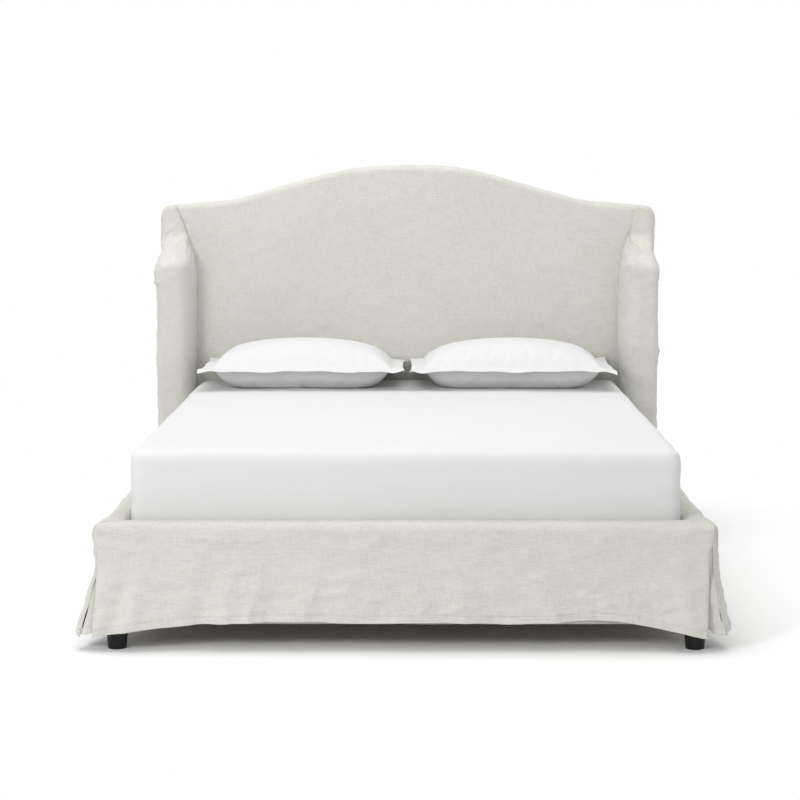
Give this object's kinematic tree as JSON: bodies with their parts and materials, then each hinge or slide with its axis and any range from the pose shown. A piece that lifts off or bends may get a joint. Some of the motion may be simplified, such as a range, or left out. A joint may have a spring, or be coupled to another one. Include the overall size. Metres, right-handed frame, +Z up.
{
  "type": "upholstered headboard bed",
  "caption": "Queen wingback bed with a camelback headboard, padded rails under a loose linen slipcover, slatted deck, mattress and pillows.",
  "frame": {"origin": "on the floor, in the middle of the bed's width and length", "axes": "+Y towards the headboard, +X to the right seen from the foot, +Z up"},
  "size_m": [1.796, 2.222, 1.32],
  "materials": {
    "slipcover_linen": "slubby plain-weave linen, matt",
    "white_cotton": "smooth cotton percale, matt",
    "mattress_ticking": "woven ticking, matt",
    "pillow_fill": "down-proof cotton, matt",
    "foam": "open-cell foam and wadding",
    "webbing": "woven tape",
    "pine": "planed, unfinished",
    "plywood": "sanded, unfinished",
    "hardboard": "smooth face",
    "black_foot": "black lacquer, satin",
    "zinc_steel": "zinc plated",
    "black_plastic": "moulded, matt"
  },
  "bodies": {
    "bedstead": {"beam_hangers": "zinc_steel", "bracket_screws": "zinc_steel", "center_beam": "pine", "center_leg_foot": "pine", "center_leg_head": "pine", "center_leg_middle": "pine", "corner_brackets": "zinc_steel", "corner_pleat_left": "slipcover_linen", "corner_pleat_right": "slipcover_linen", "foot_cover": "slipcover_linen", "foot_front_left": "black_foot", "foot_front_right": "black_foot", "foot_head_left": "black_foot", "foot_head_right": "black_foot", "foot_rail": "plywood", "foot_rail_foam": "foam", "frame_bolts": "zinc_steel", "headboard_back_panel": "hardboard", "headboard_bottom_rail": "pine", "headboard_cover": "slipcover_linen", "headboard_foam": "foam", "headboard_front_panel": "plywood", "headboard_middle_rail": "pine", "headboard_post_left": "pine", "headboard_post_right": "pine", "headboard_stiles": "pine", "headboard_top_rail": "pine", "side_cover_left": "slipcover_linen", "side_cover_right": "slipcover_linen", "side_rail_foam_left": "foam", "side_rail_foam_right": "foam", "side_rail_left": "plywood", "side_rail_right": "plywood", "slat_ledge_left": "pine", "slat_ledge_right": "pine", "slat_webbing": "webbing", "slats": "pine", "wing_cover_left": "slipcover_linen", "wing_cover_right": "slipcover_linen", "wing_foam_left": "foam", "wing_foam_right": "foam", "wing_front_stud_left": "pine", "wing_front_stud_right": "pine", "wing_inner_panel_left": "plywood", "wing_inner_panel_right": "plywood", "wing_outer_panel_left": "plywood", "wing_outer_panel_right": "plywood"},
    "mattress": {"mattress": "mattress_ticking", "fitted_sheet": "white_cotton"},
    "pillow_left": {"pillow_left": "pillow_fill", "pillowcase_left": "white_cotton"},
    "pillow_right": {"pillow_right": "pillow_fill", "pillowcase_right": "white_cotton"},
    "glide_foot": {"leg_glide_foot": "black_plastic"},
    "glide_middle": {"leg_glide_middle": "black_plastic"},
    "glide_head": {"leg_glide_head": "black_plastic"}
  },
  "joints": [
    {"name": "mattress_lift", "type": "slide", "parent": "bedstead", "child": "mattress", "axis": [0, 0, 1], "range_m": [0, 0.3]},
    {"name": "pillow_left_lift", "type": "slide", "parent": "mattress", "child": "pillow_left", "axis": [0, 0, 1], "range_m": [0, 0.25]},
    {"name": "pillow_right_lift", "type": "slide", "parent": "mattress", "child": "pillow_right", "axis": [0, 0, 1], "range_m": [0, 0.25]},
    {"name": "glide_foot_height", "type": "slide", "parent": "bedstead", "child": "glide_foot", "axis": [0, 0, -1], "range_m": [0, 0.012]},
    {"name": "glide_middle_height", "type": "slide", "parent": "bedstead", "child": "glide_middle", "axis": [0, 0, -1], "range_m": [0, 0.012]},
    {"name": "glide_head_height", "type": "slide", "parent": "bedstead", "child": "glide_head", "axis": [0, 0, -1], "range_m": [0, 0.012]}
  ]
}
